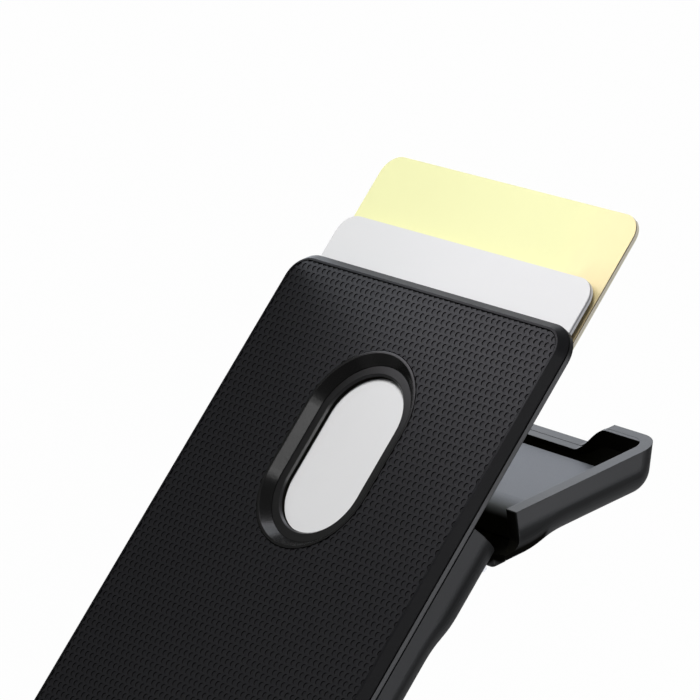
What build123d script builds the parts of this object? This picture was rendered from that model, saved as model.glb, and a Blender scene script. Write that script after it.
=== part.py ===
from build123d import *
import os

os.makedirs("parts", exist_ok=True)

# A hard-shell card wallet standing on its left long edge. X runs along the wallet, from the end
# where the cards come out to its closed end, Y runs from its front to its back and Z across it.
# The origin lies on the left edge of the frame plate, half way along it and half way through it.
# All lengths are in millimetres and all angles in degrees.

# Cards
CARD_LENGTH = 85.6
CARD_WIDTH = 53.98
CARD_THICKNESS = 0.76
CARD_CORNER = 3.18
CARD_PITCH = 0.8  # depth that one card takes in the stack
WHITE_CARD_OUT = 7.9  # how far it stands out past the end of the cover
GOLD_CARD_OUT = 19.2
GOLD_CARD_SLOT = 2  # slots behind the white card
CARD_RECESS = 4.0  # from the cover's end to a stowed card
CARD_END_GAP = 0.4  # from a stowed card to the closed end
CARD_SIDE_GAP = 0.31
CARD_FRONT_GAP = 0.15  # from the frame plate to the first card

# Body
SIDE_WALL = 2.8
END_WALL = 2.4
CORNER = 4.6  # corner radius seen from the front, and the round between the back and the sides
BODY_DEPTH = 6.85  # rear shell and lid behind the rear seam
BACK_WALL = 2.4
HUMP_HEIGHT = 1.0  # extra depth of the hump over the hinge
HUMP_FLAT = 15.0  # length of the hump's flat top
HUMP_RAMP = 7.7  # length of each slope of the hump
HUMP_WALL = 1.9
SEAM = 0.2  # height of the grooves between the layers
SEAM_DEPTH = 0.5

# Front cover
COVER_THICKNESS = 1.35
BEVEL = 1.1
RIM = 0.35  # land between the bevel and the dimpled panel
PLATE_THICKNESS = 0.8
PANEL_THICKNESS = 0.8
PANEL_DROP = 0.05  # the panel's face lies this far under the rim
PANEL_GAP = 0.1

# Thumb window, centred across the width
WINDOW_DISTANCE = 27.1  # from the card end to the window's centre
WINDOW_STRAIGHT = 10.7  # straight part of the oval
WINDOW_WIDTH = 14.4
WINDOW_EDGE = 0.35  # chamfer round the opening in the frame plate
RING_MOUTH = 20.2
RING_LAND = 0.4
RING_FLANGE = 1.2  # width of the flange that the panel holds down
RING_FLANGE_HEIGHT = 0.4

# Lid
LID_ANGLE = 40.0  # how far the lid stands open
LID_CORNER = 4.2  # its corner radius, and the round between its back and its sides
LID_REACH = 0.25  # how far the shut lid's rim stands out past the end of the cover
LID_END_SLANT = 2.3  # how far its end leans back towards the hinge, from rim to back
LID_DISH = 0.1  # rise of the lid's back towards its end
LID_SHOULDER = 2.35  # length of the shoulders at its hinge end, past the ends of its side walls
LID_SIDE_DEPTH = 5.7  # from the side walls' rims down to the shoulders
SHOULDER_ROUND = 1.7  # from the side walls' ends into the shoulders
LID_SIDE_WALL = 2.1
LID_END_WALL = 1.5
HOLLOW_ROUND = 4.0  # from the hollow's floor up to its end wall
HOLLOW_CORNER = 2.6  # corners of the hollow seen from the front
LID_GAP = 0.35  # from the shut lid to the rear shell's mouth
NOTCH_SIDE = 10.4  # from the lid's side to the notch in its end wall
NOTCH_DEPTH = 3.3
NOTCH_SLOPE = 4.5
NOTCH_ROUND = 1.8

# Hinge
SHELL_MOUTH_DISTANCE = 30.7  # from the card end to the rear shell's mouth
HINGE_SETBACK = 3.15  # from the rear shell's mouth to the hinge axis
MOUTH_FLAT = 2.0  # depth of the mouth's square part
MOUTH_SLOPE = 0.5  # how far the mouth falls away towards the back
BARREL_RADIUS = 1.5
BARREL_INSET = 6.1  # from the wallet's sides to the barrel's ends
BARREL_CLEARANCE = 0.35
TONGUE_INSET = 2.95  # from the wallet's sides to the lid's tongue
TONGUE_GAP = 0.35
TONGUE_END = 1.75  # from the hinge axis to the tongue's edge
TONGUE_ROUND = 1.7
PIN_RADIUS = 0.6
PIN_INSET = 1.4  # from the wallet's sides to the pin's ends
PIN_FIT = 0.02
RUNNING_CLEARANCE = 0.05
BUSH_RADIUS = 1.0
BUSH_LENGTH = 4.0

# Liners, spring and screws
LINER_THICKNESS = 0.4
LINER_GAP = 0.25
SPRING_THICKNESS = 0.2
SPRING_WIDTH = 12.0
SPRING_BOW = 26.0  # length of the bowed part
SPRING_FOOT = 4.0
SPRING_GAP = 0.12  # from the crest to the last card
SPRING_DISTANCE = 66.0  # from the card end to the middle of the spring
RIVET_RADIUS = 0.5
RIVET_HEAD_RADIUS = 0.95
RIVET_HEAD_HEIGHT = 0.3
RIVET_SPACING = 7.0
SCREW_RADIUS = 0.6
HEAD_TAPER = 45.0
SCREW_LENGTH = 4.4
SCREW_HEAD_RADIUS = 1.15  # countersunk at 90 degrees, flush with the frame plate
SCREW_FIT = 0.03
SCREW_INSET = 1.55  # from the wallet's sides to the screws
SCREW_MOUTH_GAP = 9.0  # from the rear shell's mouth to the first pair of screws
SCREW_END_GAP = 8.0  # from the closed end to the last pair

# Overall size and the places along the wallet
LENGTH = CARD_RECESS + CARD_LENGTH + CARD_END_GAP + END_WALL
CHAMBER_WIDTH = CARD_WIDTH + 2 * CARD_SIDE_GAP
WIDTH = CHAMBER_WIDTH + 2 * SIDE_WALL
MIDDLE = WIDTH / 2
CARD_END = -LENGTH / 2
CLOSED_END = LENGTH / 2
CHAMBER_END = CLOSED_END - END_WALL
WINDOW_X = CARD_END + WINDOW_DISTANCE
MOUTH = CARD_END + SHELL_MOUTH_DISTANCE
HINGE_X = MOUTH + HINGE_SETBACK

# Layers from front to back
PLATE_FRONT = -PLATE_THICKNESS / 2
PLATE_BACK = PLATE_THICKNESS / 2
FACE = PLATE_FRONT - COVER_THICKNESS
PANEL_BACK = FACE + PANEL_DROP + PANEL_THICKNESS
SEAM_BACK = PLATE_BACK + SEAM
BACK = SEAM_BACK + BODY_DEPTH
HUMP_BACK = BACK + HUMP_HEIGHT
HINGE_Y = HUMP_BACK - BARREL_RADIUS
CARD_FRONT = PLATE_BACK + CARD_FRONT_GAP
CHAMBER_BACK = BACK - BACK_WALL
LINER_FRONT = CHAMBER_BACK - LINER_THICKNESS
HUMP_INSIDE = HUMP_BACK - HUMP_WALL

SLOPE_TOP = HINGE_X - HUMP_FLAT / 2
SLOPE_FOOT = SLOPE_TOP - HUMP_RAMP
SCREW_XS = (MOUTH + SCREW_MOUTH_GAP, CLOSED_END - SCREW_END_GAP)
SCREW_ZS = (SCREW_INSET, WIDTH - SCREW_INSET)
SCREW_SPOTS = [(x, z) for x in SCREW_XS for z in SCREW_ZS]
LINER_START = HINGE_X + BARREL_RADIUS + BARREL_CLEARANCE + LINER_GAP
SPRING_X = CARD_END + SPRING_DISTANCE
FOOT_FRONT = LINER_FRONT - SPRING_THICKNESS
CREST = CARD_FRONT + GOLD_CARD_SLOT * CARD_PITCH + CARD_THICKNESS + SPRING_GAP
RIVET_X = SPRING_X + SPRING_BOW / 2 + SPRING_FOOT / 2
RIVET_SPOTS = [(RIVET_X, MIDDLE - RIVET_SPACING / 2), (RIVET_X, MIDDLE + RIVET_SPACING / 2)]


def facing_front(y):
    """Return the plane at depth y that faces the front, with its x along the wallet."""
    return Plane(origin=(0, y, 0), x_dir=(1, 0, 0), z_dir=(0, -1, 0))


def across(z):
    """Return the plane at height z across the wallet, on which its long section is drawn."""
    return Plane.XY.offset(z)


def slope(foot, top):
    """Draw one slope of the hump as two arcs that leave its foot and its top level."""
    middle = (Vector(*foot) + Vector(*top)) / 2
    along = Vector(top[0] - foot[0], 0)
    TangentArc(foot, middle, tangent=along)
    TangentArc(top, middle, tangent=-along)


def lies_behind_cards(edge):
    """Tell whether an edge lies wholly behind the card chamber, on the wallet's back."""
    return edge.bounding_box().min.Y > CHAMBER_BACK


def save(part, label):
    """Label a finished piece and write it to its STEP file."""
    part.label = label
    export_step(part, f"parts/{label}.step")


# ------------------------------------------------------------------ front cover
with BuildPart() as front_frame:
    with BuildSketch(facing_front(PLATE_FRONT)):
        with Locations((0, MIDDLE)):
            RectangleRounded(LENGTH - 2 * SEAM_DEPTH, WIDTH - 2 * SEAM_DEPTH, CORNER - SEAM_DEPTH)
    extrude(amount=SEAM)
    with BuildSketch(facing_front(PLATE_FRONT - SEAM)):
        with Locations((0, MIDDLE)):
            RectangleRounded(LENGTH, WIDTH, CORNER)
    extrude(amount=COVER_THICKNESS - SEAM)
    chamfer(front_frame.faces().sort_by(Axis.Y)[0].edges(), length=BEVEL)
    # Pocket for the dimpled panel and the hole for the thumb ring
    with BuildSketch(facing_front(FACE)):
        with Locations((0, MIDDLE)):
            inset = BEVEL + RIM
            RectangleRounded(LENGTH - 2 * inset, WIDTH - 2 * inset, CORNER - inset)
    extrude(amount=-(PANEL_DROP + PANEL_THICKNESS), mode=Mode.SUBTRACT)
    with BuildSketch(facing_front(FACE)):
        with Locations((WINDOW_X, MIDDLE)):
            flange_width = RING_MOUTH + 2 * (RING_LAND + RING_FLANGE + PANEL_GAP)
            SlotOverall(WINDOW_STRAIGHT + flange_width, flange_width)
    extrude(amount=-COVER_THICKNESS, mode=Mode.SUBTRACT)
save(front_frame.part, "front_frame")

with BuildPart() as front_panel:
    with BuildSketch(facing_front(PANEL_BACK)):
        with Locations((0, MIDDLE)):
            inset = BEVEL + RIM + PANEL_GAP
            RectangleRounded(LENGTH - 2 * inset, WIDTH - 2 * inset, CORNER - inset)
        with Locations((WINDOW_X, MIDDLE)):
            hole_width = RING_MOUTH + 2 * (RING_LAND + PANEL_GAP)
            SlotOverall(WINDOW_STRAIGHT + hole_width, hole_width, mode=Mode.SUBTRACT)
    extrude(amount=PANEL_THICKNESS)
save(front_panel.part, "front_panel")

# The ring stands on the frame plate and its flange is held down by the panel. Its mouth is
# one wide chamfer that narrows from the front to the window's lip.
with BuildPart() as thumb_ring:
    with BuildSketch(facing_front(PLATE_FRONT)):
        with Locations((WINDOW_X, MIDDLE)):
            ring_width = RING_MOUTH + 2 * (RING_LAND + RING_FLANGE)
            SlotOverall(WINDOW_STRAIGHT + ring_width, ring_width)
    extrude(amount=RING_FLANGE_HEIGHT)
    with BuildSketch(facing_front(PLATE_FRONT)):
        with Locations((WINDOW_X, MIDDLE)):
            ring_width = RING_MOUTH + 2 * RING_LAND
            SlotOverall(WINDOW_STRAIGHT + ring_width, ring_width)
    extrude(amount=COVER_THICKNESS)
    with BuildSketch(facing_front(PLATE_FRONT)):
        with Locations((WINDOW_X, MIDDLE)):
            lip_width = RING_MOUTH - 2 * COVER_THICKNESS
            SlotOverall(WINDOW_STRAIGHT + lip_width, lip_width)
    extrude(amount=COVER_THICKNESS, taper=-45, mode=Mode.SUBTRACT)
save(thumb_ring.part, "thumb_ring")

with BuildPart() as mid_frame:
    with BuildSketch(facing_front(PLATE_BACK)):
        with Locations((0, MIDDLE)):
            RectangleRounded(LENGTH, WIDTH, CORNER)
        with Locations((WINDOW_X, MIDDLE)):
            SlotOverall(WINDOW_STRAIGHT + WINDOW_WIDTH, WINDOW_WIDTH, mode=Mode.SUBTRACT)
    extrude(amount=PLATE_THICKNESS)
    plate_front_face = mid_frame.faces().sort_by(Axis.Y)[0]
    chamfer(plate_front_face.inner_wires().edges(), length=WINDOW_EDGE)
    with BuildSketch(facing_front(PLATE_BACK)):
        with Locations(SCREW_SPOTS):
            Circle(SCREW_RADIUS + PANEL_GAP)
    extrude(amount=PLATE_THICKNESS, mode=Mode.SUBTRACT)
    with BuildSketch(facing_front(PLATE_FRONT)):
        with Locations(SCREW_SPOTS):
            Circle(SCREW_HEAD_RADIUS)
    extrude(amount=SCREW_HEAD_RADIUS - SCREW_RADIUS, dir=(0, 1, 0), taper=HEAD_TAPER, mode=Mode.SUBTRACT)
save(mid_frame.part, "mid_frame")

# ------------------------------------------------------------------- rear shell
with BuildPart() as rear_shell:
    with BuildSketch(across(0)):
        with BuildLine():
            flat_mouth = (MOUTH, SEAM_BACK + MOUTH_FLAT)
            mouth_back = (MOUTH + MOUTH_SLOPE, HUMP_BACK)
            top = (HINGE_X + HUMP_FLAT / 2, HUMP_BACK)
            foot = (top[0] + HUMP_RAMP, BACK)
            Polyline((MOUTH, SEAM_BACK), flat_mouth, mouth_back, top)
            slope(foot, top)
            Polyline(foot, (CLOSED_END, BACK), (CLOSED_END, SEAM_BACK), (MOUTH, SEAM_BACK))
        make_face()
    extrude(amount=WIDTH)
    corner_edges = rear_shell.faces().sort_by(Axis.X)[-1].edges().filter_by(Axis.Y)
    back_edges = rear_shell.edges().filter_by(lies_behind_cards)
    fillet(corner_edges + (back_edges - back_edges.filter_by(Axis.Z).sort_by(Axis.X)[:-1]), radius=CORNER)
    # Narrower foot that seats on the frame plate and leaves the seam groove
    with BuildSketch(facing_front(SEAM_BACK)):
        foot_end = CLOSED_END - SEAM_DEPTH
        with Locations(((MOUTH + foot_end) / 2, MIDDLE)):
            foot_outline = Rectangle(foot_end - MOUTH, WIDTH - 2 * SEAM_DEPTH)
        fillet(foot_outline.vertices().group_by(Axis.X)[-1], radius=CORNER - SEAM_DEPTH)
    extrude(amount=SEAM)
    # Card chamber, open at the mouth
    with BuildSketch(facing_front(CHAMBER_BACK)):
        with Locations(((MOUTH + CHAMBER_END) / 2, MIDDLE)):
            chamber_outline = Rectangle(CHAMBER_END - MOUTH, CHAMBER_WIDTH)
        fillet(chamber_outline.vertices().group_by(Axis.X)[-1], radius=CARD_CORNER - CARD_END_GAP)
    extrude(amount=CHAMBER_BACK - PLATE_BACK, mode=Mode.SUBTRACT)
    # Room for the lid's tongue and barrel, which swing back past the open edge of the hump.
    # A knuckle at each end of the barrel is left standing on the side wall and holds the pin.
    pocket_back = HUMP_BACK + BARREL_RADIUS
    barrel_room = BARREL_RADIUS + BARREL_CLEARANCE
    with BuildSketch(across(TONGUE_INSET - TONGUE_GAP)):
        with BuildLine():
            Polyline(
                (MOUTH, PLATE_BACK),
                (HINGE_X, PLATE_BACK),
                (HINGE_X, HINGE_Y),
                (HINGE_X + barrel_room, HINGE_Y),
                (HINGE_X + barrel_room, pocket_back),
                (MOUTH, pocket_back),
                close=True,
            )
        make_face()
        with Locations((HINGE_X, HINGE_Y)):
            Circle(BARREL_RADIUS, mode=Mode.SUBTRACT)
    extrude(amount=WIDTH - 2 * (TONGUE_INSET - TONGUE_GAP), mode=Mode.SUBTRACT)
    with BuildSketch(across(BARREL_INSET - TONGUE_GAP)):
        with Locations((HINGE_X, HINGE_Y)):
            Circle(barrel_room)
    extrude(amount=WIDTH - 2 * (BARREL_INSET - TONGUE_GAP), mode=Mode.SUBTRACT)
    # Bore for the hinge pin, which goes in from the left side
    with BuildSketch(across(0)):
        with Locations((HINGE_X, HINGE_Y)):
            Circle(PIN_RADIUS + PIN_FIT)
    extrude(amount=WIDTH - PIN_INSET, mode=Mode.SUBTRACT)
    # Pilot holes for the screws
    with BuildSketch(facing_front(PLATE_BACK)):
        with Locations(SCREW_SPOTS):
            Circle(SCREW_RADIUS + SCREW_FIT)
    extrude(amount=-(SCREW_LENGTH - PLATE_THICKNESS + SCREW_FIT), mode=Mode.SUBTRACT)
save(rear_shell.part, "rear_shell")

# -------------------------------------------------------------------------- lid
# The lid is drawn shut, in line with the rear shell, and then swung open about the hinge.
LID_TIP = CARD_END - LID_REACH
LID_TIP_BACK = (LID_TIP + LID_END_SLANT, BACK + LID_DISH)
HOLLOW_END = LID_TIP + LID_END_WALL
LID_END = MOUTH - LID_GAP
LID_END_BACK = LID_END + MOUTH_SLOPE / 2
HINGE_AXIS = Axis((HINGE_X, HINGE_Y, 0), (0, 0, 1))


def swing(shut_part):
    """Return a piece of the shut lid, turned about the hinge to where the lid stands open."""
    return shut_part.rotate(HINGE_AXIS, -LID_ANGLE)


# Inside, the lid's floor runs from a wide round at the end wall down the slope to the hinge
with BuildPart() as lid_hollow:
    with BuildSketch(across(LID_SIDE_WALL)):
        with BuildLine():
            round_foot = (HOLLOW_END + HOLLOW_ROUND, CHAMBER_BACK)
            round_top = (HOLLOW_END, CHAMBER_BACK - HOLLOW_ROUND)
            Line((SLOPE_FOOT, CHAMBER_BACK), round_foot)
            TangentArc(round_foot, round_top, tangent=(-1, 0))
            Polyline(round_top, (HOLLOW_END, PLATE_BACK), (LID_END_BACK, PLATE_BACK))
            Polyline((LID_END_BACK, PLATE_BACK), (LID_END_BACK, HUMP_INSIDE), (SLOPE_TOP, HUMP_INSIDE))
            slope((SLOPE_FOOT, CHAMBER_BACK), (SLOPE_TOP, HUMP_INSIDE))
        make_face()
    extrude(amount=WIDTH - 2 * LID_SIDE_WALL)
    with BuildSketch(facing_front(HUMP_BACK)):
        with Locations(((HOLLOW_END + LID_END_BACK) / 2, MIDDLE)):
            hollow_outline = Rectangle(LID_END_BACK - HOLLOW_END, WIDTH - 2 * LID_SIDE_WALL)
        fillet(hollow_outline.vertices().group_by(Axis.X)[0], radius=HOLLOW_CORNER)
    extrude(amount=HUMP_BACK - PLATE_BACK, mode=Mode.INTERSECT)

with BuildPart() as lid:
    with BuildSketch(across(0)):
        with BuildLine():
            TangentArc((SLOPE_FOOT, BACK), LID_TIP_BACK, tangent=(-1, 0))
            Polyline(LID_TIP_BACK, (LID_TIP, SEAM_BACK), (LID_END, SEAM_BACK))
            Line((LID_END, SEAM_BACK), (LID_END, SEAM_BACK + MOUTH_FLAT))
            Line((LID_END, SEAM_BACK + MOUTH_FLAT), (LID_END_BACK, HUMP_BACK))
            Line((LID_END_BACK, HUMP_BACK), (SLOPE_TOP, HUMP_BACK))
            slope((SLOPE_FOOT, BACK), (SLOPE_TOP, HUMP_BACK))
        make_face()
    extrude(amount=WIDTH)
    end_edges = lid.faces().sort_by(Axis.X)[0].edges()
    corner_edges = end_edges - end_edges.filter_by(Axis.Z)
    back_edges = lid.edges().filter_by(lies_behind_cards)
    fillet(corner_edges + (back_edges - back_edges.filter_by(Axis.Z).sort_by(Axis.X)[1:]), radius=LID_CORNER)
    add(lid_hollow.part, mode=Mode.SUBTRACT)
    # At the hinge end the side walls drop to the shoulders
    with BuildSketch(across(0)):
        with Locations((LID_END - LID_SHOULDER, SEAM_BACK)):
            shoulder_outline = Rectangle(2 * LID_SHOULDER, LID_SIDE_DEPTH, align=Align.MIN)
        low_corners = shoulder_outline.vertices().group_by(Axis.Y)[-1]
        fillet(low_corners.sort_by(Axis.X)[0], radius=SHOULDER_ROUND)
    extrude(amount=WIDTH, mode=Mode.SUBTRACT)
    # Notch in the end wall: the corners that are left hold the stowed cards back
    with BuildSketch(Plane(origin=(LID_TIP, SEAM_BACK, 0), x_dir=(0, 0, 1), z_dir=(-1, 0, 0))):
        with BuildLine():
            Polyline(
                (NOTCH_SIDE, 0),
                (NOTCH_SIDE + NOTCH_SLOPE, NOTCH_DEPTH),
                (WIDTH - NOTCH_SIDE - NOTCH_SLOPE, NOTCH_DEPTH),
                (WIDTH - NOTCH_SIDE, 0),
                close=True,
            )
        notch_outline = make_face()
        fillet(notch_outline.vertices().group_by(Axis.Y)[-1], radius=NOTCH_ROUND)
    extrude(amount=-(LID_END_WALL + HOLLOW_ROUND), mode=Mode.SUBTRACT)
    # Tongue between the rear shell's side walls
    with BuildSketch(across(TONGUE_INSET)):
        with BuildLine():
            edge_x = HINGE_X - TONGUE_END
            round_foot = (edge_x, HUMP_BACK - TONGUE_ROUND)
            round_top = (edge_x - TONGUE_ROUND, HUMP_BACK)
            Polyline((LID_END - TONGUE_ROUND, HUMP_INSIDE), (edge_x, HUMP_INSIDE), round_foot)
            TangentArc(round_foot, round_top, tangent=(0, 1))
            Line(round_top, (LID_END - TONGUE_ROUND, HUMP_BACK))
            Line((LID_END - TONGUE_ROUND, HUMP_BACK), (LID_END - TONGUE_ROUND, HUMP_INSIDE))
        make_face()
    extrude(amount=WIDTH - 2 * TONGUE_INSET)
    # Barrel and the neck that carries it
    with BuildSketch(across(BARREL_INSET)):
        with Locations((HINGE_X, HINGE_Y)):
            Circle(BARREL_RADIUS)
        neck_start = HINGE_X - TONGUE_END - TONGUE_ROUND
        with Locations(((neck_start + HINGE_X) / 2, (HUMP_INSIDE + HUMP_BACK) / 2)):
            Rectangle(HINGE_X - neck_start, HUMP_WALL)
    extrude(amount=WIDTH - 2 * BARREL_INSET)
    with BuildSketch(across(BARREL_INSET)):
        with Locations((HINGE_X, HINGE_Y)):
            Circle(PIN_RADIUS + 2 * RUNNING_CLEARANCE)
    extrude(amount=WIDTH - 2 * BARREL_INSET, mode=Mode.SUBTRACT)
    for bush_start in (BARREL_INSET, WIDTH - BARREL_INSET - BUSH_LENGTH):
        with BuildSketch(across(bush_start)):
            with Locations((HINGE_X, HINGE_Y)):
                Circle(BUSH_RADIUS)
        extrude(amount=BUSH_LENGTH, mode=Mode.SUBTRACT)
save(swing(lid.part), "lid")

with BuildPart() as lid_liner:
    with BuildSketch(across(LID_SIDE_WALL + LINER_GAP)):
        with BuildLine():
            liner_start = HOLLOW_END + HOLLOW_ROUND
            inside_front = HUMP_INSIDE - LINER_THICKNESS
            Line((SLOPE_FOOT, CHAMBER_BACK), (liner_start, CHAMBER_BACK))
            Line((liner_start, CHAMBER_BACK), (liner_start, LINER_FRONT))
            Line((liner_start, LINER_FRONT), (SLOPE_FOOT, LINER_FRONT))
            slope((SLOPE_FOOT, LINER_FRONT), (SLOPE_TOP, inside_front))
            Line((SLOPE_TOP, inside_front), (SLOPE_TOP, HUMP_INSIDE))
            slope((SLOPE_FOOT, CHAMBER_BACK), (SLOPE_TOP, HUMP_INSIDE))
        make_face()
    extrude(amount=WIDTH - 2 * (LID_SIDE_WALL + LINER_GAP))
save(swing(lid_liner.part), "lid_liner")

# ------------------------------------------------------------------------ hinge
with BuildPart() as hinge_pin:
    with BuildSketch(across(PIN_INSET)):
        with Locations((HINGE_X, HINGE_Y)):
            Circle(PIN_RADIUS)
    extrude(amount=WIDTH - 2 * PIN_INSET)
save(hinge_pin.part, "hinge_pin")

with BuildPart() as hinge_bushes:
    for bush_start in (BARREL_INSET, WIDTH - BARREL_INSET - BUSH_LENGTH):
        with BuildSketch(across(bush_start)):
            with Locations((HINGE_X, HINGE_Y)):
                Circle(BUSH_RADIUS)
                Circle(PIN_RADIUS + RUNNING_CLEARANCE, mode=Mode.SUBTRACT)
        extrude(amount=BUSH_LENGTH)
save(hinge_bushes.part, "hinge_bushes")

# ----------------------------------------------------- card spring and its plate
with BuildPart() as rear_liner:
    with BuildSketch(facing_front(CHAMBER_BACK)):
        liner_end = CHAMBER_END - LINER_GAP
        with Locations(((LINER_START + liner_end) / 2, MIDDLE)):
            plate_outline = Rectangle(liner_end - LINER_START, CHAMBER_WIDTH - 2 * LINER_GAP)
        fillet(plate_outline.vertices().group_by(Axis.X)[-1], radius=CARD_CORNER - CARD_END_GAP)
        with Locations(RIVET_SPOTS):
            Circle(RIVET_RADIUS + SCREW_FIT, mode=Mode.SUBTRACT)
    extrude(amount=LINER_THICKNESS)
save(rear_liner.part, "rear_liner")

with BuildPart() as card_spring:
    with BuildSketch(across(MIDDLE - SPRING_WIDTH / 2)):
        with BuildLine():
            bow_start = SPRING_X - SPRING_BOW / 2
            bow_end = SPRING_X + SPRING_BOW / 2
            crest_back = CREST + SPRING_THICKNESS
            Line((bow_start - SPRING_FOOT, FOOT_FRONT), (bow_start, FOOT_FRONT))
            ThreePointArc((bow_start, FOOT_FRONT), (SPRING_X, CREST), (bow_end, FOOT_FRONT))
            Line((bow_end, FOOT_FRONT), (bow_end + SPRING_FOOT, FOOT_FRONT))
            Line((bow_end + SPRING_FOOT, FOOT_FRONT), (bow_end + SPRING_FOOT, LINER_FRONT))
            Line((bow_end + SPRING_FOOT, LINER_FRONT), (bow_end, LINER_FRONT))
            ThreePointArc((bow_end, LINER_FRONT), (SPRING_X, crest_back), (bow_start, LINER_FRONT))
            Line((bow_start, LINER_FRONT), (bow_start - SPRING_FOOT, LINER_FRONT))
            Line((bow_start - SPRING_FOOT, LINER_FRONT), (bow_start - SPRING_FOOT, FOOT_FRONT))
        make_face()
    extrude(amount=SPRING_WIDTH)
    with BuildSketch(facing_front(LINER_FRONT)):
        with Locations(RIVET_SPOTS):
            Circle(RIVET_RADIUS + SCREW_FIT)
    extrude(amount=SPRING_THICKNESS, mode=Mode.SUBTRACT)
save(card_spring.part, "card_spring")

with BuildPart() as spring_rivets:
    with BuildSketch(facing_front(FOOT_FRONT)):
        with Locations(RIVET_SPOTS):
            Circle(RIVET_HEAD_RADIUS)
    extrude(amount=RIVET_HEAD_HEIGHT)
    with BuildSketch(facing_front(FOOT_FRONT)):
        with Locations(RIVET_SPOTS):
            Circle(RIVET_RADIUS)
    extrude(amount=-(SPRING_THICKNESS + LINER_THICKNESS))
save(spring_rivets.part, "spring_rivets")

with BuildPart() as case_screws:
    with BuildSketch(facing_front(PLATE_FRONT)):
        with Locations(SCREW_SPOTS):
            Circle(SCREW_HEAD_RADIUS)
    extrude(amount=SCREW_HEAD_RADIUS - SCREW_RADIUS, dir=(0, 1, 0), taper=HEAD_TAPER)
    with BuildSketch(facing_front(PLATE_FRONT)):
        with Locations(SCREW_SPOTS):
            Circle(SCREW_RADIUS)
    extrude(amount=-SCREW_LENGTH)
save(case_screws.part, "case_screws")

# ------------------------------------------------------------------------ cards
for card_name, out, slot in (("white_card", WHITE_CARD_OUT, 0), ("gold_card", GOLD_CARD_OUT, GOLD_CARD_SLOT)):
    with BuildPart() as card:
        with BuildSketch(facing_front(CARD_FRONT + slot * CARD_PITCH + CARD_THICKNESS)):
            with Locations((CARD_END - out + CARD_LENGTH / 2, MIDDLE)):
                RectangleRounded(CARD_LENGTH, CARD_WIDTH, CARD_CORNER)
        extrude(amount=CARD_THICKNESS)
    save(card.part, card_name)
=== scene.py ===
import math

import bmesh
import bpy
import numpy as np
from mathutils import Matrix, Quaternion, Vector


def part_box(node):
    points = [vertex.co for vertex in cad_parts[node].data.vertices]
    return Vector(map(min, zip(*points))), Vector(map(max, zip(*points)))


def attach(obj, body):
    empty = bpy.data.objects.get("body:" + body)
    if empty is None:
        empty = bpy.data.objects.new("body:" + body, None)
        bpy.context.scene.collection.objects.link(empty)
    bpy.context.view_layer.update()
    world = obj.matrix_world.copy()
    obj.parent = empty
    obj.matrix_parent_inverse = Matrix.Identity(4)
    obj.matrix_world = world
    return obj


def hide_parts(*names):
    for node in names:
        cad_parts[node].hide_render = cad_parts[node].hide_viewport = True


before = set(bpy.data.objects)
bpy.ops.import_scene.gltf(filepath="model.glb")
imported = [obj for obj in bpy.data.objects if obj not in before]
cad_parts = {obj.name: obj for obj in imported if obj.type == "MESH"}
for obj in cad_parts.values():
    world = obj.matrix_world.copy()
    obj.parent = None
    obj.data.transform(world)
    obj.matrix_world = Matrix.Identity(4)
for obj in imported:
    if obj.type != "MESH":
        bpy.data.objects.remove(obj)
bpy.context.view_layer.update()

# ---------------------------------------------------------------------------------------- camera
# A long lens in front of the wallet and above it, turned on its side so that the card end of
# the standing wallet points up and to the right of the view.
AIM = Vector((-0.0334740, -0.0017500, 0.0221248))
DISTANCE = 0.579018
AZIMUTH = math.radians(17.047)
ELEVATION = math.radians(48.079)
ROLL = math.radians(107.464)

view = Vector(
    (
        -math.sin(AZIMUTH) * math.cos(ELEVATION),
        math.cos(AZIMUTH) * math.cos(ELEVATION),
        -math.sin(ELEVATION),
    )
)
camera = bpy.data.objects.new("camera", bpy.data.cameras.new("camera"))
bpy.context.collection.objects.link(camera)
camera.location = AIM - DISTANCE * view
camera.rotation_mode = "QUATERNION"
camera.rotation_quaternion = Quaternion(view, -ROLL) @ view.to_track_quat("-Z", "Y")
camera.data.lens = 210.09
camera.data.sensor_width = 36.0
camera.data.clip_start = 0.01
bpy.context.scene.camera = camera
bpy.context.scene.view_settings.view_transform = "Standard"


# ------------------------------------------------------------------------------ floor and lights
# The floor and the room look plain white and give off little light. Three soft lamps light the
# wallet, and three small panels are seen only where a finish is glossy.
class Socket:
    """A socket of a material's nodes; sums, differences and products add Math nodes."""

    def __init__(self, tree, end=None):
        self.tree = tree
        self.end = end

    def node(self, kind, settings, values, output=0):
        """Add a node of this kind: first its settings, then its sockets' values or links."""
        made = self.tree.nodes.new(kind)
        for name, setting in settings.items():
            if name == "stops":
                ramp = made.color_ramp
                while len(ramp.elements) < len(setting):
                    ramp.elements.new(0.5)
                for element, (position, colour) in zip(ramp.elements, setting):
                    element.position = position
                    element.color = (*colour, 1.0)
            else:
                setattr(made, name, setting)
        for name, value in values.items():
            if isinstance(value, Socket):
                self.tree.links.new(value.end, made.inputs[name])
            else:
                made.inputs[name].default_value = value
        return Socket(self.tree, made.outputs[output]) if made.outputs else None

    def maths(self, operation, first, second=0.0):
        return self.node("ShaderNodeMath", {"operation": operation}, {0: first, 1: second})

    def larger(self, other):
        return self.maths("MAXIMUM", self, other)

    def axes(self):
        """Split a vector into its x, y and z."""
        parts = self.node("ShaderNodeSeparateXYZ", {}, {"Vector": self})
        return [Socket(self.tree, parts.end.node.outputs[axis]) for axis in "XYZ"]

    def __add__(self, other):
        return self.maths("ADD", self, other)

    def __sub__(self, other):
        return self.maths("SUBTRACT", self, other)

    def __rsub__(self, other):
        return self.maths("SUBTRACT", other, self)

    def __mul__(self, other):
        return self.maths("MULTIPLY", self, other)

    __radd__ = __add__
    __rmul__ = __mul__


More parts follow.
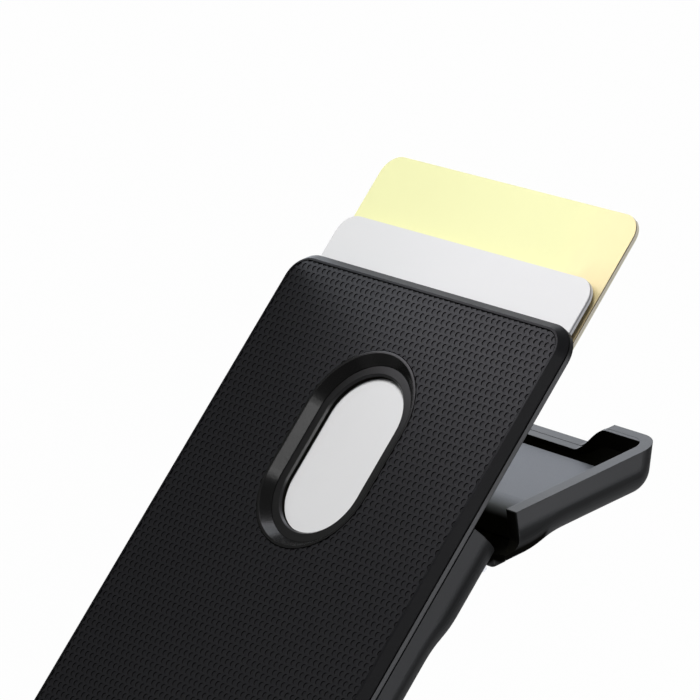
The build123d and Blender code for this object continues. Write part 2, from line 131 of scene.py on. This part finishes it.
def white_for_eyes(tree, shade_kind, shade, seen, mirrored):
    """Mix a plain emission of strength 1 over a shade, by one share where the camera sees it and
    by another where a glossy or transmission ray does."""
    path = Socket(tree).node("ShaderNodeLightPath", {}, {})
    direct = Socket(tree, path.end.node.outputs["Is Camera Ray"])
    glossy = Socket(tree, path.end.node.outputs["Is Glossy Ray"])
    through = Socket(tree, path.end.node.outputs["Is Transmission Ray"])
    share = (direct * seen).larger(glossy.larger(through) * mirrored)
    under = share.node(shade_kind, {}, shade)
    plain = {"Color": (1.0, 1.0, 1.0, 1.0), "Strength": 1.0}
    over = share.node("ShaderNodeEmission", {}, plain)
    return share.node("ShaderNodeMixShader", {}, {0: share, 1: under, 2: over})


def blank(name):
    """Return a new material and its emptied node tree."""
    material = bpy.data.materials.new(name)
    material.use_nodes = True
    material.node_tree.nodes.clear()
    return material, material.node_tree


def show(tree, kind, shader):
    """Link a shader to the output of a material or of the world."""
    shader.node(kind, {}, {"Surface": shader})


FLOOR_REACH = 3.0  # from its middle to each edge
FLOOR_SEEN = 0.985  # how much of plain white the camera sees
FLOOR_MIRRORED = 0.03  # and glossy finishes see
corners = [(x * FLOOR_REACH, y * FLOOR_REACH, 0) for x, y in ((-1, -1), (1, -1), (1, 1), (-1, 1))]
floor_mesh = bpy.data.meshes.new("floor")
floor_mesh.from_pydata(corners, [], [(0, 1, 2, 3)])
floor = bpy.data.objects.new("floor", floor_mesh)
bpy.context.collection.objects.link(floor)
floor_paint, tree = blank("floor_paint")
paint = {"Color": (0.50, 0.50, 0.50, 1.0)}
white = white_for_eyes(tree, "ShaderNodeBsdfDiffuse", paint, FLOOR_SEEN, FLOOR_MIRRORED)
show(tree, "ShaderNodeOutputMaterial", white)
floor_mesh.materials.append(floor_paint)

ROOM_SEEN = 1.0
ROOM_MIRRORED = 0.055
ROOM_LIGHT = 0.06
world = bpy.data.worlds.new("room")
bpy.context.scene.world = world
world.use_nodes = True
world.node_tree.nodes.clear()
tree = world.node_tree
air = {"Color": (1.0, 1.0, 1.0, 1.0), "Strength": ROOM_LIGHT}
white = white_for_eyes(tree, "ShaderNodeBackground", air, ROOM_SEEN, ROOM_MIRRORED)
show(tree, "ShaderNodeOutputWorld", white)


def lamp(name, place, target, size, glow, colour=(1.0, 1.0, 1.0)):
    """Hang a square soft lamp that faces the target. A lamp gives off pi times its glow in watts
    for each square metre of its face, and a glow of 1 looks full white."""
    light = bpy.data.lights.new(name, "AREA")
    light.size = size
    light.energy = math.pi * size ** 2 * glow
    light.color = colour
    holder = bpy.data.objects.new(name, light)
    bpy.context.collection.objects.link(holder)
    holder.location = place
    holder.rotation_mode = "QUATERNION"
    holder.rotation_quaternion = (Vector(target) - Vector(place)).to_track_quat("-Z", "Y")
    holder.visible_camera = False
    return holder


COOL_WHITE = (0.88, 0.92, 1.0)
front_lamp = lamp("front_lamp", (-0.33, -0.58, 0.14), AIM, 0.35, 13.0)
front_lamp.visible_glossy = False
lamp("side_panel", (-0.154, 0.268, 0.544), AIM, 0.36, 2.0, (0.94, 0.95, 1.0))
lamp("rear_lamp", (0.56, 0.46, 0.26), AIM, 0.40, 4.0)
for name, place, target, size, glow, colour in (
    ("floor_panel", (-0.092, 0.020, 0.001), (-0.092, 0.020, 1.0), 0.096, 1.9, COOL_WHITE),
    ("face_panel", (-0.075, -0.058, 0.001), (-0.075, -0.058, 1.0), 0.07, 2.6, (0.96, 0.93, 1.0)),
    ("ring_panel", (-0.214, -0.669, 0.599), AIM, 0.20, 5.0, (1.0, 1.0, 1.0)),
):
    lamp(name, place, target, size, glow, colour).visible_diffuse = False

# --------------------------------------------------------------------------------- moulded plastic
# The front cover, frame plate, rear shell and lid are moulded in black ABS from spark-finished
# tools: a fine even grain, with edges that are a little rounded.
EDGE_ROUND = 0.00016
GRAIN_SIZE = 0.0004
GRAIN_HEIGHT = 0.00001
PATCH_SCALE = 60.0  # of the broad patches that change the roughness
PATCH_CHANGE = 0.08


def moulded(name, colour, roughness, edge=EDGE_ROUND, specular=0.5, lean=None, over=None):
    """Make a plastic whose grain is fine noise on the object's coordinates, over rounded edges.
    Its normals may lean by a vector that changes over the part, so that flat sides look bellied,
    and a dull black may be laid over some of it as painted shade."""
    material, tree = blank(name)
    place = Socket(tree).node("ShaderNodeTexCoord", {}, {}, "Object")
    size = {"Vector": place, "Scale": 1.0 / GRAIN_SIZE, "Detail": 2.0}
    fine = place.node("ShaderNodeTexNoise", {}, size)
    size = {"Vector": place, "Scale": PATCH_SCALE, "Detail": 3.0}
    broad = place.node("ShaderNodeTexNoise", {}, size)
    rounded = place.node("ShaderNodeBevel", {"samples": 6}, {"Radius": edge})
    if lean:
        both = {0: rounded, 1: lean(place)}
        leaning = place.node("ShaderNodeVectorMath", {"operation": "ADD"}, both)
        rounded = place.node("ShaderNodeVectorMath", {"operation": "NORMALIZE"}, {0: leaning})
    bump = {"Height": fine, "Distance": GRAIN_HEIGHT, "Normal": rounded}
    bumped = place.node("ShaderNodeBump", {}, bump)
    shader = place.node(
        "ShaderNodeBsdfPrincipled",
        {},
        {
            "Base Color": (*colour, 1.0),
            "Roughness": roughness + (broad - 0.5) * PATCH_CHANGE,
            "Specular IOR Level": specular,
            "Normal": bumped,
        },
    )
    show(tree, "ShaderNodeOutputMaterial", over(place, shader) if over else shader)
    return material


def step(value, start, end):
    """Rise smoothly from 0 where the value is at the start to 1 where it is at the end."""
    ends = {"Value": value, "From Min": start, "From Max": end, "To Min": 0.0, "To Max": 1.0}
    return value.node("ShaderNodeMapRange", {"interpolation_type": "SMOOTHSTEP"}, ends)


def black_shade_where(shader, mask):
    """Mix a dull black over a shader by a mask, as painted shade."""
    dull = shader.node("ShaderNodeBsdfDiffuse", {}, {"Color": (0.006, 0.006, 0.005, 1.0)})
    return shader.node("ShaderNodeMixShader", {}, {0: mask, 1: shader, 2: dull})


WINDOW_STRAIGHT = 0.0107
WINDOW_WIDTH = 0.0144
WINDOW_BORDER = (0.00003, 0.00008)  # past the window's wall
PLATE_FACE = (-0.00038, -0.00032)
# share of dull black mixed into the plate's front face, which darkens it
PLATE_FRONT_DARKENING = 0.45
ring_low, ring_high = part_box("thumb_ring")
ring_middle = (ring_low + ring_high) / 2


def shade_opening(place, shader):
    """Paint shade on the cut wall of the window, which is nearer than half its width to its middle
    line, as a dull black, and mix a share of that black into the plate's front face so that it is
    darker than its edges."""
    x, y, z = place.axes()
    beyond = (x.maths("ABSOLUTE", x - ring_middle.x) - WINDOW_STRAIGHT / 2).larger(0.0)
    across = z - ring_middle.z
    away = beyond.maths("SQRT", beyond * beyond + across * across)
    start, end = WINDOW_BORDER
    opening = 1 - step(away, WINDOW_WIDTH / 2 + start, WINDOW_WIDTH / 2 + end)
    front = PLATE_FRONT_DARKENING * (1 - step(y, *PLATE_FACE))
    return black_shade_where(shader, opening.larger(front))


case_plastic = moulded("case_plastic", (0.009, 0.009, 0.010), 0.34, specular=0.11)
# The frame plate gets painted shade in dull black on the wall of its window.
frame_plastic = moulded(
    "frame_plastic", (0.012, 0.012, 0.013), 0.30, specular=0.6, over=shade_opening
)
SIDE_LEAN = 0.75
SHELL_BELLY = (0.0027, 0.0062)  # depths between which the shell's sides look curved in


def shell_lean(place):
    """Lean the normals backwards, more the deeper a point lies on the rear shell's sides."""
    share = step(place.axes()[1], *SHELL_BELLY) * SIDE_LEAN
    return share.node("ShaderNodeCombineXYZ", {}, {"Y": share})


shell_plastic = moulded("shell_plastic", (0.009, 0.010, 0.011), 0.42, lean=shell_lean)
ring_plastic = moulded("ring_plastic", (0.005, 0.005, 0.005), 0.22, specular=0.32)
for node, material in (
    ("front_frame", case_plastic),
    ("mid_frame", frame_plastic),
    ("rear_shell", shell_plastic),
    ("thumb_ring", ring_plastic),
):
    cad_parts[node].material_slots[0].material = material

# -------------------------------------------------------------------------------------------- lid
# The lid is moulded from the same plastic as the rear shell. Its hollow and its room for the hinge
# get a dull black mixed over the plastic: painted shade where those hollows lie in shadow.
LID_ANGLE = math.radians(40.0)
TOWARDS_BACK = (math.sin(LID_ANGLE), math.cos(LID_ANGLE), 0.0)
TOWARDS_SHELL = (math.cos(LID_ANGLE), -math.sin(LID_ANGLE), 0.0)
pin_low, pin_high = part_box("hinge_pin")
hinge = (pin_low + pin_high) / 2
hinge.z = 0.0
HOLLOW_ALONG = -0.03265  # from the hinge to the inside of the end wall
HOLLOW_SIDES = (0.00205, 0.05815)
HOLLOW_DEPTH = -0.00175  # of its floor, from the hinge
HUMP_DEPTH = 0.0009
RIM_DEPTH = -0.00635
SIDE_BELLY = (-0.0045, -0.0014)  # depths between which the lid's sides look curved in
OUTWARD = (-0.96, -0.90)  # how far a normal points to the lid's back, on faces that look out
NOTCH_EDGE = (-0.0029, -0.0028)  # depths between which the notch's edge ends
BORDER = 0.0001
HUMP_SIDES = ((0.0001, 0.0005), (0.0597, 0.0601))
HUMP_RIM = (0.0001, 0.0003)  # past the rims of the sides
HUMP_BORDER = 0.0006
LID_ROOM = (-0.0118, -0.0106)  # where the room for the hinge begins, from the hinge


def from_hinge(place, direction):
    """Measure how far a point lies from the hinge axis in a direction."""
    away = place.node("ShaderNodeVectorMath", {"operation": "SUBTRACT"}, {0: place, 1: hinge})
    both = {0: away, 1: direction}
    return away.node("ShaderNodeVectorMath", {"operation": "DOT_PRODUCT"}, both, "Value")


def side_lean(place):
    """Lean the normals towards the lid's back, more the deeper a point lies on its sides."""
    share = step(from_hinge(place, TOWARDS_BACK), *SIDE_BELLY) * SIDE_LEAN
    scaled = {0: TOWARDS_BACK, "Scale": share}
    return share.node("ShaderNodeVectorMath", {"operation": "SCALE"}, scaled)


def faces_out(place):
    """Tell which faces look straight out of the open lid."""
    normal = place.node("ShaderNodeTexCoord", {}, {}, "Normal")
    both = {0: normal, 1: TOWARDS_BACK}
    inwards = place.node("ShaderNodeVectorMath", {"operation": "DOT_PRODUCT"}, both, "Value")
    return 1 - step(inwards, *OUTWARD)


def in_hollow(place):
    """Tell where the lid's main hollow is: behind its end wall, in front of its floor, and
    between its sides, but not the notch's edge, which looks out above the floor."""
    along, depth = from_hinge(place, TOWARDS_SHELL), from_hinge(place, TOWARDS_BACK)
    across = place.axes()[2]
    low, high = HOLLOW_SIDES
    sides = step(across, low - BORDER, low) * (1 - step(across, high, high + BORDER))
    hollow = sides * step(along, HOLLOW_ALONG - BORDER, HOLLOW_ALONG)
    hollow = hollow * (1 - step(depth, HOLLOW_DEPTH, HOLLOW_DEPTH + BORDER))
    return hollow * (1 - faces_out(place) * (1 - step(depth, *NOTCH_EDGE)))


def in_hump(place, start, end):
    """Tell where the deeper room for the hinge is, below the rims of the sides and from a soft
    border on."""
    along, depth = from_hinge(place, TOWARDS_SHELL), from_hinge(place, TOWARDS_BACK)
    across = place.axes()[2]
    low, high = HUMP_SIDES
    sides = step(across, *low) * (1 - step(across, *high))
    sides = sides * step(depth, RIM_DEPTH + HUMP_RIM[0], RIM_DEPTH + HUMP_RIM[1])
    sides = sides * step(along, start, end)
    return sides * (1 - step(depth, HUMP_DEPTH - HUMP_BORDER, HUMP_DEPTH))


def shade_hollow(place, shader):
    """Paint shade over the lid's hollow and its room for the hinge, as a dull black."""
    return black_shade_where(shader, in_hollow(place).larger(in_hump(place, *LID_ROOM)))


lid_plastic = moulded(
    "lid_plastic", (0.009, 0.010, 0.011), 0.42, specular=0.6, lean=side_lean, over=shade_hollow
)
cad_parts["lid"].material_slots[0].material = lid_plastic

# ------------------------------------------------------------------------------- sill of the notch
# Behind the notch in its end wall the lid has a thick sill that fills part of the hollow's round
# and thins out towards the corners. It is part of the moulding, satin on top, with painted shade
# in dull black on its other faces.
SILL_OUTER = (-0.0328, -0.0324)  # its top and bottom edges in the end wall, from the hinge
SILL_SIDE = 0.0029  # from the lid's sides to the sill's ends
SILL_BOTTOM = (-0.0035, -0.0020)  # at the corners and at the notch
NOTCH_SIDE = 0.0104
NOTCH_SLOPE = 0.0045
NOTCH_DEPTH = 0.0033
SILL_THICK = (0.0007, 0.0026)  # past the inside of the end wall, at the corners and at the notch
SILL_FALL = 0.00003
SILL_TOP_GAP = 0.00001  # from the rims of the lid's sides
SILL_STATIONS = 113
SLOPE_EASE = 0.08  # how much the notch's slopes are eased into its floor and its ends

lid_low, lid_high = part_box("lid")
stations = np.linspace(lid_low.z + SILL_SIDE, lid_high.z - SILL_SIDE, SILL_STATIONS)
from_corner = np.minimum(stations - lid_low.z, lid_high.z - stations)
share = np.clip((from_corner - NOTCH_SIDE) / NOTCH_SLOPE, 0.0, 1.0)
share = share - SLOPE_EASE * np.sin(2 * np.pi * share)
top = RIM_DEPTH + SILL_TOP_GAP + share * NOTCH_DEPTH
inner = HOLLOW_ALONG + SILL_THICK[0] + share * (SILL_THICK[1] - SILL_THICK[0])
bottom = SILL_BOTTOM[0] + share * (SILL_BOTTOM[1] - SILL_BOTTOM[0])
# Four long edges, (along, depth, across) from the hinge, which close round the sill.
edges = np.stack(
    [
        np.stack([np.full_like(stations, SILL_OUTER[0]), top, stations], axis=-1),
        np.stack([inner, top + share * SILL_FALL, stations], axis=-1),
        np.stack([inner, bottom, stations], axis=-1),
        np.stack([np.full_like(stations, SILL_OUTER[1]), bottom, stations], axis=-1),
    ]
)
axes = np.array([TOWARDS_SHELL, TOWARDS_BACK, (0.0, 0.0, 1.0)])
points = (edges @ axes + np.array(hinge)).reshape(-1, 3)
count = len(stations)
edge, station = np.meshgrid(np.arange(4), np.arange(count - 1), indexing="ij")
first = (edge * count + station).ravel()
second = ((edge + 1) % 4 * count + station).ravel()
quads = np.stack([first, first + 1, second + 1, second], axis=-1).tolist()
ends = [[0, count, 2 * count, 3 * count], [4 * count - 1, 3 * count - 1, 2 * count - 1, count - 1]]
sill_mesh = bpy.data.meshes.new("lid_sill")
sill_mesh.from_pydata(points, [], quads + ends)
shape = bmesh.new()
shape.from_mesh(sill_mesh)
bmesh.ops.recalc_face_normals(shape, faces=shape.faces)
shape.to_mesh(sill_mesh)
shape.free()
lid_sill = bpy.data.objects.new("lid_sill", sill_mesh)
bpy.context.collection.objects.link(lid_sill)


def shade_inside(place, shader):
    """Paint shade in dull black on every face of the sill but its top."""
    return black_shade_where(shader, 1 - faces_out(place))


sill_plastic = moulded("sill_plastic", (0.009, 0.010, 0.011), 0.42, specular=0.6, over=shade_inside)
sill_mesh.materials.append(sill_plastic)
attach(lid_sill, "lid_assembly")

# ------------------------------------------------------------------------------------- grip panel
# The panel glued into the front cover is moulded in one piece with rows of small round dimples,
# every second row shifted by half a dimple, which run right up to its edges.
PITCH = 0.00112
DIMPLE_RADIUS = 0.00043
DIMPLE_FLOOR_RADIUS = 0.00040
DIMPLE_DEPTH = 0.00012
DIMPLE_SIDES = 10
PANEL_CORNER = 0.00305
MERGE_DISTANCE = 0.000002


def dimple_cell(thickness):
    """One square cell: six points round its face, a ring at the dimple's mouth, one at its floor,
    and six points round its back.

    The points are (along, across, depth). Two opposite sides of the square have a middle point,
    where the corners of the shifted cells beside them lie. Triangles fill the square down to the
    mouth, the wall down to the floor ring, the floor as a fan from its first point, and the back.
    """
    half = PITCH / 2
    square = [(-half, -half), (half, -half), (half, 0), (half, half), (-half, half), (-half, 0)]
    angles = (np.arange(DIMPLE_SIDES) + 0.5) * 2 * np.pi / DIMPLE_SIDES - 0.75 * np.pi
    points = [(x, z, 0) for x, z in square]
    points += [(DIMPLE_RADIUS * np.cos(a), DIMPLE_RADIUS * np.sin(a), 0) for a in angles]
    points += [
        (DIMPLE_FLOOR_RADIUS * np.cos(a), DIMPLE_FLOOR_RADIUS * np.sin(a), DIMPLE_DEPTH)
        for a in angles
    ]
    points += [(x, z, thickness) for x, z in square]
    outer = np.unwrap([math.atan2(z, x) for x, z in square])
    triangles = []
    i = j = 0
    while i < 6 or j < DIMPLE_SIDES:
        next_outer = (
            outer[i % 6] + 2 * np.pi * (i // 6)
            + outer[(i + 1) % 6] + 2 * np.pi * ((i + 1) // 6)
        ) / 2
        turned = angles[j % DIMPLE_SIDES] + 2 * np.pi * (j // DIMPLE_SIDES)
        next_inner = turned + np.pi / DIMPLE_SIDES
        a, b = i % 6, 6 + j % DIMPLE_SIDES
        if j >= DIMPLE_SIDES or (i < 6 and next_outer < next_inner):
            i += 1
            triangles.append((a, i % 6, b))
        else:
            j += 1
            triangles.append((a, 6 + j % DIMPLE_SIDES, b))
    for k in range(DIMPLE_SIDES):
        a, b = 6 + k, 6 + (k + 1) % DIMPLE_SIDES
        triangles += [(a, b, a + DIMPLE_SIDES), (b, b + DIMPLE_SIDES, a + DIMPLE_SIDES)]
    first = 6 + DIMPLE_SIDES
    triangles += [(first, first + k, first + k + 1) for k in range(1, DIMPLE_SIDES - 1)]
    back = first + DIMPLE_SIDES
    triangles += [(back, back + k + 1, back + k) for k in range(1, 5)]
    return np.array(points), np.array(triangles)


def onto_outline(along, across, half_length, half_width, radius, inside):
    """Bring points back onto a rounded rectangle: each keeps its nearest point on the rectangle
    that is smaller by the radius, and its distance from there becomes the radius where it is more
    (for points that belong inside) or less (for points that belong outside)."""
    core_x = np.clip(along, radius - half_length, half_length - radius)
    core_z = np.clip(across, radius - half_width, half_width - radius)
    away = np.hypot(along - core_x, across - core_z)
    moved = away > radius if inside else away < radius
    share = np.where(moved, radius / np.maximum(away, 1e-9), 1.0)
    return core_x + (along - core_x) * share, core_z + (across - core_z) * share, moved


# Faces that point forward less than the first of these get painted shade in dull black.
SIDEWAYS = (0.5, 0.9)  # how far a normal points forward, from dull walls to the face


def shade_walls(place, shader):
    """Paint shade on the faces that look sideways, the dimples' walls and the panel's edge, as a
    dull black.
    """
    normal = place.node("ShaderNodeTexCoord", {}, {}, "Normal")
    forward = normal.axes()[1]
    return black_shade_where(shader, 1 - step(forward.maths("ABSOLUTE", forward), *SIDEWAYS))


low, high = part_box("front_panel")
panel_middle = (low + high) / 2
half_length = (high.x - low.x) / 2
half_width = (high.z - low.z) / 2
RING_FLANGE = 0.0012
RING_GAP = 0.0001
hole_half_width = (ring_high.z - ring_low.z) / 2 - RING_FLANGE + RING_GAP
hole_half_length = (ring_high.x - ring_low.x) / 2 - RING_FLANGE + RING_GAP

cell, cell_triangles = dimple_cell(high.y - low.y)
rows = int(half_length / PITCH) + 2
columns = int(half_width / PITCH) + 2
row, column = np.meshgrid(
    np.arange(-rows, rows + 1), np.arange(-columns, columns + 1), indexing="ij"
)
centre_x = row * PITCH
centre_z = (column + 0.5 * (row % 2)) * PITCH
along = centre_x.ravel()[:, None] + cell[:, 0]
across = centre_z.ravel()[:, None] + cell[:, 1]
along, across, past_edge = onto_outline(along, across, half_length, half_width, PANEL_CORNER, True)
along = along + panel_middle.x - ring_middle.x
along, across, past_hole = onto_outline(
    along, across, hole_half_length, hole_half_width, hole_half_width, False
)
kept = ~(past_edge | past_hole).all(axis=1)
points = np.stack(
    [
        (along + ring_middle.x)[kept],
        low.y + np.broadcast_to(cell[:, 2], along.shape)[kept],
        (across + panel_middle.z)[kept],
    ],
    axis=-1,
).reshape(-1, 3)
triangles = (cell_triangles + len(cell) * np.arange(kept.sum())[:, None, None]).reshape(-1, 3)

panel_mesh = bpy.data.meshes.new("grip_panel")
panel_mesh.from_pydata(points, [], triangles.tolist())
shape = bmesh.new()
shape.from_mesh(panel_mesh)
bmesh.ops.remove_doubles(shape, verts=shape.verts, dist=MERGE_DISTANCE)
rim = [edge for edge in shape.edges if edge.is_boundary and edge.verts[0].co.y < panel_middle.y]
wall = bmesh.ops.extrude_edge_only(shape, edges=rim)["geom"]
for vertex in [piece for piece in wall if isinstance(piece, bmesh.types.BMVert)]:
    vertex.co.y = high.y
bmesh.ops.remove_doubles(shape, verts=shape.verts, dist=MERGE_DISTANCE)
bmesh.ops.recalc_face_normals(shape, faces=shape.faces)
shape.to_mesh(panel_mesh)
shape.free()
grip_panel = bpy.data.objects.new("grip_panel", panel_mesh)
bpy.context.collection.objects.link(grip_panel)
# The panel has painted shade in dull black on its dimples' walls and on its edge.
panel_plastic = moulded(
    "panel_plastic", (0.012, 0.012, 0.0135), 0.46, edge=0.00003, specular=0.22, over=shade_walls
)
panel_mesh.materials.append(panel_plastic)
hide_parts("front_panel")
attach(grip_panel, "case")

# ---------------------------------------------------------------------------------------- liners
# Two thin plates stamped from sheet metal line the lid and the rear shell. The lid's has a satin,
# faintly brushed grey coat, and the rear shell's is bare aluminium. Where the lid's lies in the
# room for the hinge, a dull black is laid over it as painted shade.
SCRATCH_SCALE = 9000.0
SCRATCH_HEIGHT = 0.000004
SCRATCH_CHANGE = 0.2  # of the roughness
LINER_ROOM = (-0.0132, -0.0106)


def metal(name, colour, roughness, brushed, metallic=1.0, over=None):
    """Make a metal with long fine scratches: noise stretched along the wallet."""
    material, tree = blank(name)
    place = Socket(tree).node("ShaderNodeTexCoord", {}, {}, "Object")
    stretch = {"Vector": place, "Scale": (1.0 / brushed, 1.0, 1.0)}
    stretched = place.node("ShaderNodeMapping", {}, stretch)
    size = {"Vector": stretched, "Scale": SCRATCH_SCALE, "Detail": 2.0}
    scratch = place.node("ShaderNodeTexNoise", {}, size)
    bump = {"Height": scratch, "Distance": SCRATCH_HEIGHT, "Strength": 1.0}
    bumped = place.node("ShaderNodeBump", {}, bump)
    shader = place.node(
        "ShaderNodeBsdfPrincipled",
        {},
        {
            "Base Color": (*colour, 1.0),
            "Metallic": metallic,
            "Roughness": roughness + (scratch - 0.5) * SCRATCH_CHANGE,
            "Normal": bumped,
        },
    )
    show(tree, "ShaderNodeOutputMaterial", over(place, shader) if over else shader)
    return material


def shade_hump(place, shader):
    """Paint shade in dull black over the part of the liner that lies in the room for the hinge."""
    return black_shade_where(shader, in_hump(place, *LINER_ROOM))


bare_aluminium = metal("bare_aluminium", (0.50, 0.50, 0.52), 0.38, 30.0)
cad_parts["rear_liner"].material_slots[0].material = bare_aluminium
lid_liner_coat = metal(
    "lid_liner_coat", (0.10, 0.105, 0.115), 0.42, 30.0, metallic=0.6, over=shade_hump
)
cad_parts["lid_liner"].material_slots[0].material = lid_liner_coat

# ------------------------------------------------------------------- hinge, spring and fasteners
# The hinge pin is drawn steel wire in two acetal bushes, the card spring is stamped spring steel
# held by two rivets, and four countersunk screws join the frame plate to the rear shell.
steel = metal("steel", (0.55, 0.55, 0.56), 0.28, 20.0)
for node in ("hinge_pin", "card_spring", "spring_rivets", "case_screws"):
    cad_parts[node].material_slots[0].material = steel
bush_acetal = moulded("bush_acetal", (0.62, 0.61, 0.56), 0.40)
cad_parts["hinge_bushes"].material_slots[0].material = bush_acetal

# ----------------------------------------------------------------------------------------- cards
# Two plastic bank cards, laminated and punched to the standard size: a plain white one in the
# first slot and a gold one in the third, satin at its left and brushed towards its right. Its
# front turns brown towards the part that goes into the case, partly its print and partly painted
# shadow of the white card and the case.
material, tree = blank("white_card_plastic")
place = Socket(tree).node("ShaderNodeTexCoord", {}, {}, "Object")
grain = place.node("ShaderNodeTexNoise", {}, {"Vector": place, "Scale": 900.0, "Detail": 2.0})
white_low, white_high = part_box("white_card")
CORE_START = (0.00010, 0.00018)  # depths where the laminate's grey core begins and ends
CORE_END = (0.00034, 0.00042)
depth = place.axes()[1] - white_low.y
core = step(depth, *CORE_START) * (1 - step(depth, *CORE_END))
card_white = core.node(
    "ShaderNodeValToRGB",
    {"stops": [(0.0, (0.71, 0.71, 0.715)), (1.0, (0.30, 0.30, 0.31))]},
    {"Fac": core},
)
shader = place.node(
    "ShaderNodeBsdfPrincipled",
    {},
    {
        "Base Color": card_white,
        "Specular IOR Level": 0.3,
        "Roughness": 0.38 + (grain - 0.5) * 0.1,
        "Normal": place.node(
            "ShaderNodeBump",
            {},
            {
                "Height": grain,
                "Distance": 0.000004,
                "Normal": place.node("ShaderNodeBevel", {"samples": 4}, {"Radius": 0.00008}),
            },
        ),
    },
)
show(tree, "ShaderNodeOutputMaterial", shader)
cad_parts["white_card"].material_slots[0].material = material

gold_low, gold_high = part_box("gold_card")
material, tree = blank("gold_card_plastic")
place = Socket(tree).node("ShaderNodeTexCoord", {}, {}, "Object")
x, y, z = place.axes()
stretched = place.node("ShaderNodeMapping", {}, {"Vector": place, "Scale": (0.02, 1.0, 1.0)})
brush = place.node("ShaderNodeTexNoise", {}, {"Vector": stretched, "Scale": 6000.0, "Detail": 3.0})
cloud = place.node("ShaderNodeTexNoise", {}, {"Vector": place, "Scale": 260.0, "Detail": 3.0})
front = 1 - step(y, gold_low.y + 0.00003, gold_low.y + 0.00006)
right = front * step(z + (cloud - 0.5) * 0.004, gold_high.z - 0.013, gold_high.z - 0.004)
# Share that rises towards the case: it darkens the gold towards brown, partly print and partly
# painted shadow of the white card and the case.
down = step(x, gold_low.x + 0.005, gold_low.x + 0.019)
# So the brushed share carries both the brushed finish and that painted shadow.
brushed = right * (0.42 + down * 0.58) + (brush - 0.5) * 0.05
gold_print_and_shadow = brushed.node(
    "ShaderNodeValToRGB",
    {"stops": [(0.0, (0.85, 0.85, 0.46)), (0.45, (0.84, 0.73, 0.41)), (1.0, (0.50, 0.41, 0.24))]},
    {"Fac": brushed},
)
back = step(y, gold_high.y - 0.00006, gold_high.y - 0.00003)
on_edge = 1 - front.larger(back)
bronze = 1 - step(y, gold_low.y + 0.00016, gold_low.y + 0.00024)
edge_colour = bronze.node(
    "ShaderNodeValToRGB",
    {"stops": [(0.0, (0.86, 0.80, 0.66)), (1.0, (0.14, 0.10, 0.05))]},
    {"Fac": bronze},
)
gold_print_and_shadow = on_edge.node(
    "ShaderNodeMix",
    {"data_type": "RGBA"},
    {"Factor": on_edge, "A": gold_print_and_shadow, "B": edge_colour},
    "Result",
)
shader = place.node(
    "ShaderNodeBsdfPrincipled",
    {},
    {
        "Base Color": gold_print_and_shadow,
        "Metallic": brushed * (1 - on_edge) * 0.3,
        "Roughness": 0.40 + (brush - 0.5) * 0.2,
        "Specular IOR Level": 0.2,
        "Normal": place.node(
            "ShaderNodeBump", {}, {"Height": brush * brushed, "Distance": 0.000004}
        ),
    },
)
show(tree, "ShaderNodeOutputMaterial", shader)
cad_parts["gold_card"].material_slots[0].material = material
